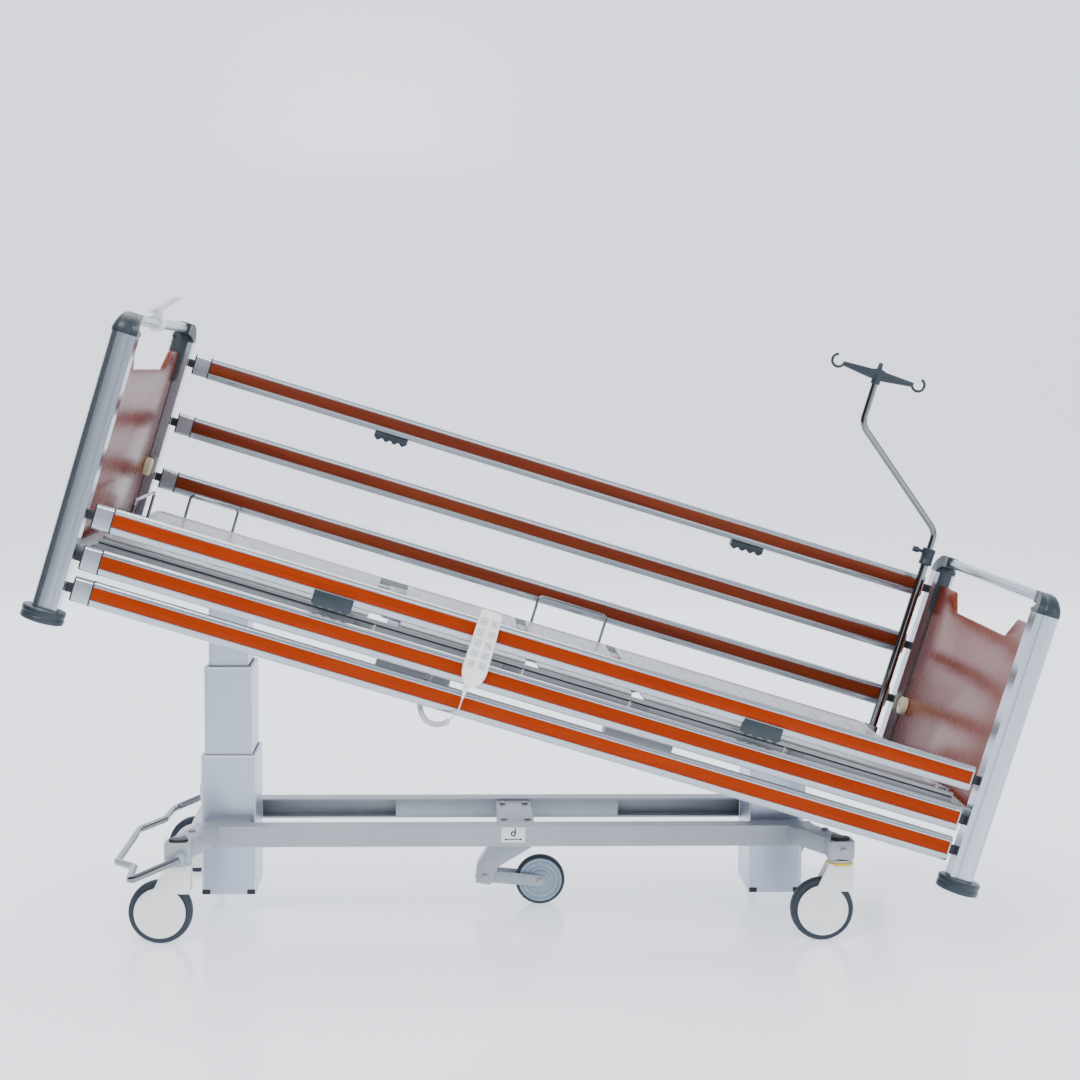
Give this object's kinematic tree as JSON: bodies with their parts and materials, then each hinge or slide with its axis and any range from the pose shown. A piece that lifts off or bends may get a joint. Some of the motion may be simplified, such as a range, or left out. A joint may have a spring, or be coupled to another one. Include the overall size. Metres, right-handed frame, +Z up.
{
  "type": "adjustable hospital bed",
  "caption": "Height-adjustable, tilting hospital bed on two telescopic columns with casters, a hinged platform, laminate boards, rail guards, a drip pole and a wired handset",
  "frame": {"origin": "on the floor, under the middle of the whole bed's box, as it stands tilted head down", "axes": "+X runs to the head end, +Y to the side with the raised guard and the drip pole, +Z up"},
  "size_m": [2.3677, 1.039, 1.5207],
  "materials": {
    "beam_paint": "silver powder coat, satin",
    "column_anodised": "anodised, fine brushed",
    "post_aluminium": "anodised, satin",
    "rail_silver": "anodised, satin",
    "cover_pale": "pale coat, satin",
    "panel_grey": "light grey coat, satin",
    "laminate": "red-brown laminate, satin",
    "corner_plastic": "dark blue-grey moulded",
    "housing_plastic": "white moulded",
    "wheel_rubber": "dark blue-grey tread",
    "chrome": "polished",
    "steel": "zinc plated",
    "dark_fittings": "black moulded",
    "drive_plastic": "grey moulded",
    "handset_plastic": "white moulded",
    "cord_plastic": "pale grey sleeve"
  },
  "bodies": {
    "base": {"base_frame": "beam_paint", "arm_caps": "dark_fittings", "fifth_wheel_bracket": "beam_paint", "foot_column_outer": "column_anodised", "head_column_outer": "column_anodised"},
    "bed_frame": {"pivot_brackets": "steel", "frame_tubes": "beam_paint", "side_profiles": "cover_pale", "seat_panel": "panel_grey", "platform_hinges": "steel", "seat_retainer": "chrome", "drive_units": "drive_plastic", "control_box": "drive_plastic", "board_posts": "post_aluminium", "board_caps": "corner_plastic", "board_top_bars": "rail_silver", "board_panels": "laminate", "pole_sleeves": "steel", "pole_tube": "chrome", "pole_clamp": "corner_plastic", "foot_control_panel": "handset_plastic", "handset_socket": "dark_fittings", "handset_coil": "cord_plastic"},
    "foot_column_middle": {"foot_column_middle": "column_anodised"},
    "foot_column_inner": {"foot_column_inner": "column_anodised"},
    "head_column_middle": {"head_column_middle": "column_anodised"},
    "head_column_inner": {"head_column_inner": "column_anodised"},
    "head_pivot_pin": {"head_pivot_pin": "steel"},
    "backrest": {"backrest_panel": "panel_grey"},
    "thigh": {"thigh_panel": "panel_grey"},
    "leg": {"leg_panel": "panel_grey", "leg_retainers": "chrome"},
    "pole_rod": {"pole_rod": "chrome"},
    "pole_head": {"pole_head": "corner_plastic"},
    "brake_bar": {"brake_bar": "chrome"},
    "fifth_fork": {"fifth_wheel_fork": "steel"},
    "fifth_wheel": {"fifth_wheel": "wheel_rubber"},
    "near_top_rail": {"near_rail_top": "rail_silver", "near_grips": "corner_plastic", "handset": "handset_plastic", "handset_relief": "handset_plastic", "handset_lead": "cord_plastic"},
    "near_middle_rail": {"near_rail_middle": "rail_silver"},
    "near_low_rail": {"near_rail_low": "rail_silver"},
    "far_top_rail": {"far_rail_top": "rail_silver", "far_grips": "corner_plastic"},
    "far_middle_rail": {"far_rail_middle": "rail_silver"},
    "far_low_rail": {"far_rail_low": "rail_silver"},
    "caster_foot_near": {"caster_housing_foot_near": "housing_plastic"},
    "wheel_foot_near": {"caster_wheel_foot_near": "wheel_rubber"},
    "bumper_foot_near": {"bumper_foot_near": "corner_plastic"},
    "caster_foot_far": {"caster_housing_foot_far": "housing_plastic"},
    "wheel_foot_far": {"caster_wheel_foot_far": "wheel_rubber"},
    "bumper_foot_far": {"bumper_foot_far": "corner_plastic"},
    "caster_head_near": {"caster_housing_head_near": "housing_plastic"},
    "wheel_head_near": {"caster_wheel_head_near": "wheel_rubber"},
    "bumper_head_near": {"bumper_head_near": "corner_plastic"},
    "caster_head_far": {"caster_housing_head_far": "housing_plastic"},
    "wheel_head_far": {"caster_wheel_head_far": "wheel_rubber"},
    "bumper_head_far": {"bumper_head_far": "corner_plastic"}
  },
  "joints": [
    {"name": "foot_lift", "type": "slide", "parent": "base", "child": "foot_column_middle", "axis": [0, 0, 1], "range_m": [-0.212, 0]},
    {"name": "foot_inner_lift", "type": "slide", "parent": "foot_column_middle", "child": "foot_column_inner", "axis": [0, 0, 1], "range_m": [-0.1957, 0]},
    {"name": "head_lift", "type": "slide", "parent": "base", "child": "head_column_middle", "axis": [0, 0, 1], "range_m": [0, 0.212]},
    {"name": "head_inner_lift", "type": "slide", "parent": "head_column_middle", "child": "head_column_inner", "axis": [0, 0, 1], "range_m": [0, 0.1957]},
    {"name": "pin_turn", "type": "hinge", "parent": "head_column_inner", "child": "head_pivot_pin", "pos_m": [0.591, 0, 0.439], "axis": [0, 1, 0], "range_deg": [-16.72, 0]},
    {"name": "bed_tilt", "type": "hinge", "parent": "head_pivot_pin", "child": "bed_frame", "pos_m": [0.591, 0, 0.439], "axis": [0, 1, 0], "range_deg": [-16.72, 0]},
    {"name": "backrest_tilt", "type": "hinge", "parent": "bed_frame", "child": "backrest", "pos_m": [0.21023, 0, 0.59293], "axis": [0, 1, 0], "range_deg": [-70, 0]},
    {"name": "knee_lift", "type": "hinge", "parent": "bed_frame", "child": "thigh", "pos_m": [-0.03784, 0, 0.66737], "axis": [0, 1, 0], "range_deg": [0, 40]},
    {"name": "leg_fold", "type": "hinge", "parent": "thigh", "child": "leg", "pos_m": [-0.37403, 0, 0.76826], "axis": [0, 1, 0], "range_deg": [-60.1, 0]},
    {"name": "near_guard_lift", "type": "slide", "parent": "bed_frame", "child": "near_top_rail", "axis": [0.2874, 0, 0.9578], "range_m": [0, 0.356]},
    {"name": "near_middle_rail_lift", "type": "slide", "parent": "bed_frame", "child": "near_middle_rail", "axis": [0.2874, 0, 0.9578], "range_m": [0, 0.2885]},
    {"name": "near_low_rail_lift", "type": "slide", "parent": "bed_frame", "child": "near_low_rail", "axis": [0.2874, 0, 0.9578], "range_m": [0, 0.2065]},
    {"name": "far_guard_lift", "type": "slide", "parent": "bed_frame", "child": "far_top_rail", "axis": [0.2874, 0, 0.9578], "range_m": [-0.356, 0]},
    {"name": "far_middle_rail_lift", "type": "slide", "parent": "bed_frame", "child": "far_middle_rail", "axis": [0.2874, 0, 0.9578], "range_m": [-0.2885, 0]},
    {"name": "far_low_rail_lift", "type": "slide", "parent": "bed_frame", "child": "far_low_rail", "axis": [0.2874, 0, 0.9578], "range_m": [-0.2065, 0]},
    {"name": "pole_height", "type": "slide", "parent": "bed_frame", "child": "pole_rod", "axis": [0.2874, 0, 0.9578], "range_m": [-0.02, 0.2]},
    {"name": "pole_head_turn", "type": "hinge", "parent": "pole_rod", "child": "pole_head", "pos_m": [0.92827, 0.4, 1.34008], "axis": [0.2874, 0, 0.9578], "continuous": true},
    {"name": "brake_press", "type": "hinge", "parent": "base", "child": "brake_bar", "pos_m": [-0.845, 0, 0.211], "axis": [0, 1, 0], "range_deg": [-8, 8]},
    {"name": "fifth_fork_swing", "type": "hinge", "parent": "base", "child": "fifth_fork", "pos_m": [-0.133, 0, 0.074], "axis": [0, 1, 0], "range_deg": [-12, 0]},
    {"name": "fifth_wheel_roll", "type": "hinge", "parent": "fifth_fork", "child": "fifth_wheel", "pos_m": [0.007, 0, 0.0625], "axis": [0, 1, 0], "continuous": true},
    {"name": "caster_swivel_foot_near", "type": "hinge", "parent": "base", "child": "caster_foot_near", "pos_m": [-0.855, -0.33, 0.19], "axis": [0, 0, 1], "continuous": true},
    {"name": "caster_roll_foot_near", "type": "hinge", "parent": "caster_foot_near", "child": "wheel_foot_near", "pos_m": [-0.897, -0.33, 0.075], "axis": [0, 1, 0], "continuous": true},
    {"name": "bumper_turn_foot_near", "type": "hinge", "parent": "bed_frame", "child": "bumper_foot_near", "pos_m": [-1.13158, -0.47, 0.79407], "axis": [0.2874, 0, 0.9578], "continuous": true},
    {"name": "caster_swivel_foot_far", "type": "hinge", "parent": "base", "child": "caster_foot_far", "pos_m": [-0.855, 0.33, 0.19], "axis": [0, 0, 1], "continuous": true},
    {"name": "caster_roll_foot_far", "type": "hinge", "parent": "caster_foot_far", "child": "wheel_foot_far", "pos_m": [-0.897, 0.33, 0.075], "axis": [0, 1, 0], "continuous": true},
    {"name": "bumper_turn_foot_far", "type": "hinge", "parent": "bed_frame", "child": "bumper_foot_far", "pos_m": [-1.13158, 0.47, 0.79407], "axis": [0.2874, 0, 0.9578], "continuous": true},
    {"name": "caster_swivel_head_near", "type": "hinge", "parent": "base", "child": "caster_head_near", "pos_m": [0.705, -0.33, 0.19], "axis": [0, 0, 1], "continuous": true},
    {"name": "caster_roll_head_near", "type": "hinge", "parent": "caster_head_near", "child": "wheel_head_near", "pos_m": [0.663, -0.33, 0.075], "axis": [0, 1, 0], "continuous": true},
    {"name": "bumper_turn_head_near", "type": "hinge", "parent": "bed_frame", "child": "bumper_head_near", "pos_m": [0.95261, -0.47, 0.16866], "axis": [0.2874, 0, 0.9578], "continuous": true},
    {"name": "caster_swivel_head_far", "type": "hinge", "parent": "base", "child": "caster_head_far", "pos_m": [0.705, 0.33, 0.19], "axis": [0, 0, 1], "continuous": true},
    {"name": "caster_roll_head_far", "type": "hinge", "parent": "caster_head_far", "child": "wheel_head_far", "pos_m": [0.663, 0.33, 0.075], "axis": [0, 1, 0], "continuous": true},
    {"name": "bumper_turn_head_far", "type": "hinge", "parent": "bed_frame", "child": "bumper_head_far", "pos_m": [0.95261, 0.47, 0.16866], "axis": [0.2874, 0, 0.9578], "continuous": true}
  ],
  "couplings": [
    {"joint": "foot_inner_lift", "follows": "foot_lift", "ratio": 0.92075},
    {"joint": "head_inner_lift", "follows": "head_lift", "ratio": 0.92075},
    {"joint": "pin_turn", "follows": "head_lift", "rad_per_m": -1.3751},
    {"joint": "bed_tilt", "follows": "foot_lift", "rad_per_m": 1.3751},
    {"joint": "leg_fold", "follows": "knee_lift", "ratio": -1.5},
    {"joint": "near_middle_rail_lift", "follows": "near_guard_lift", "ratio": 0.80899},
    {"joint": "near_low_rail_lift", "follows": "near_guard_lift", "ratio": 0.57865},
    {"joint": "far_middle_rail_lift", "follows": "far_guard_lift", "ratio": 0.80899},
    {"joint": "far_low_rail_lift", "follows": "far_guard_lift", "ratio": 0.57865}
  ]
}
